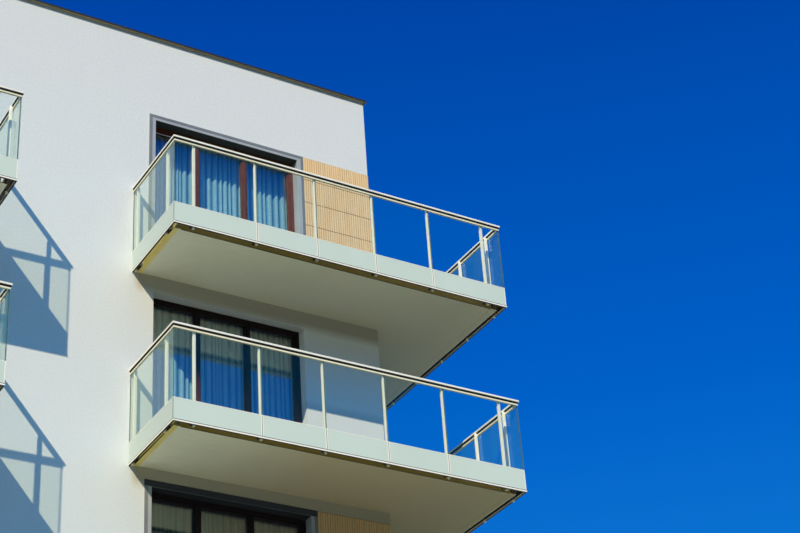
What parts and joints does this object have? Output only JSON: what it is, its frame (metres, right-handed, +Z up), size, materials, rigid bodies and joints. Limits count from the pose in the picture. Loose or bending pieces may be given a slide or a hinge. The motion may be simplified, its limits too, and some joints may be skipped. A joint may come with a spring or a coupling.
{
  "type": "apartment block",
  "caption": "Flat-roofed apartment block with white rendered walls, brown balcony doors and glass-sided balconies that wrap round both front corners.",
  "frame": {"origin": "middle of the walls' outline, on the ground", "axes": "+X to the right along the front wall, +Y from the front wall to the back wall, +Z up"},
  "size_m": [20.544, 13.467, 19.135],
  "materials": {
    "wall_render": "off-white painted render with a fine grain",
    "floor_concrete": "smooth floor screed over concrete",
    "roof_covering": "grey mineral roof covering",
    "coping_metal": "dark grey-brown folded sheet",
    "band_paint": "satin grey metal sheet",
    "cladding_tile": "matt tan panels with fine upright ribs",
    "frame_wood": "mahogany brown, satin varnish",
    "door_wood": "mahogany brown, satin varnish",
    "window_glass": "clear double glazing",
    "sill_stone": "honed pale stone",
    "curtain_cloth": "thin white gathered cloth",
    "track_metal": "white paint",
    "balcony_concrete": "painted soffit, tiled top",
    "channel_metal": "gold-brown coated steel",
    "rail_metal": "cream powder coat",
    "fitting_metal": "cream powder coat",
    "clear_glass": "clear toughened glass",
    "frosted_glass": "green-grey frosted glass"
  },
  "bodies": {
    "root": {"front_wall_piers": "wall_render", "front_wall_spandrels": "wall_render", "back_wall_piers": "wall_render", "back_wall_spandrels": "wall_render", "side_wall_piers": "wall_render", "side_wall_spandrels": "wall_render", "roof_slab": "roof_covering", "parapet_coping": "coping_metal", "surrounds": "band_paint", "cladding": "cladding_tile", "balcony_door_frames": "frame_wood", "balcony_door_glass": "window_glass", "window_frames": "frame_wood", "window_glass": "window_glass", "window_sills": "sill_stone", "entrance_door": "door_wood", "curtains": "curtain_cloth", "curtain_tracks": "track_metal", "floor_slab_1": "floor_concrete", "floor_slab_2": "floor_concrete", "floor_slab_3": "floor_concrete", "floor_slab_4": "floor_concrete", "floor_slab_5": "floor_concrete", "floor_slab_6": "floor_concrete", "left_balcony_slabs": "balcony_concrete", "left_slab_channels": "channel_metal", "left_posts": "rail_metal", "left_handrails": "rail_metal", "left_glass_fittings": "fitting_metal", "left_clear_panes": "clear_glass", "left_frosted_panes": "frosted_glass", "middle_balcony_slabs": "balcony_concrete", "middle_slab_channels": "channel_metal", "middle_posts": "rail_metal", "middle_handrails": "rail_metal", "middle_glass_fittings": "fitting_metal", "middle_clear_panes": "clear_glass", "middle_frosted_panes": "frosted_glass", "right_balcony_slabs": "balcony_concrete", "right_slab_channels": "channel_metal", "right_posts": "rail_metal", "right_handrails": "rail_metal", "right_glass_fittings": "fitting_metal", "right_clear_panes": "clear_glass", "right_frosted_panes": "frosted_glass"}
  },
  "joints": []
}
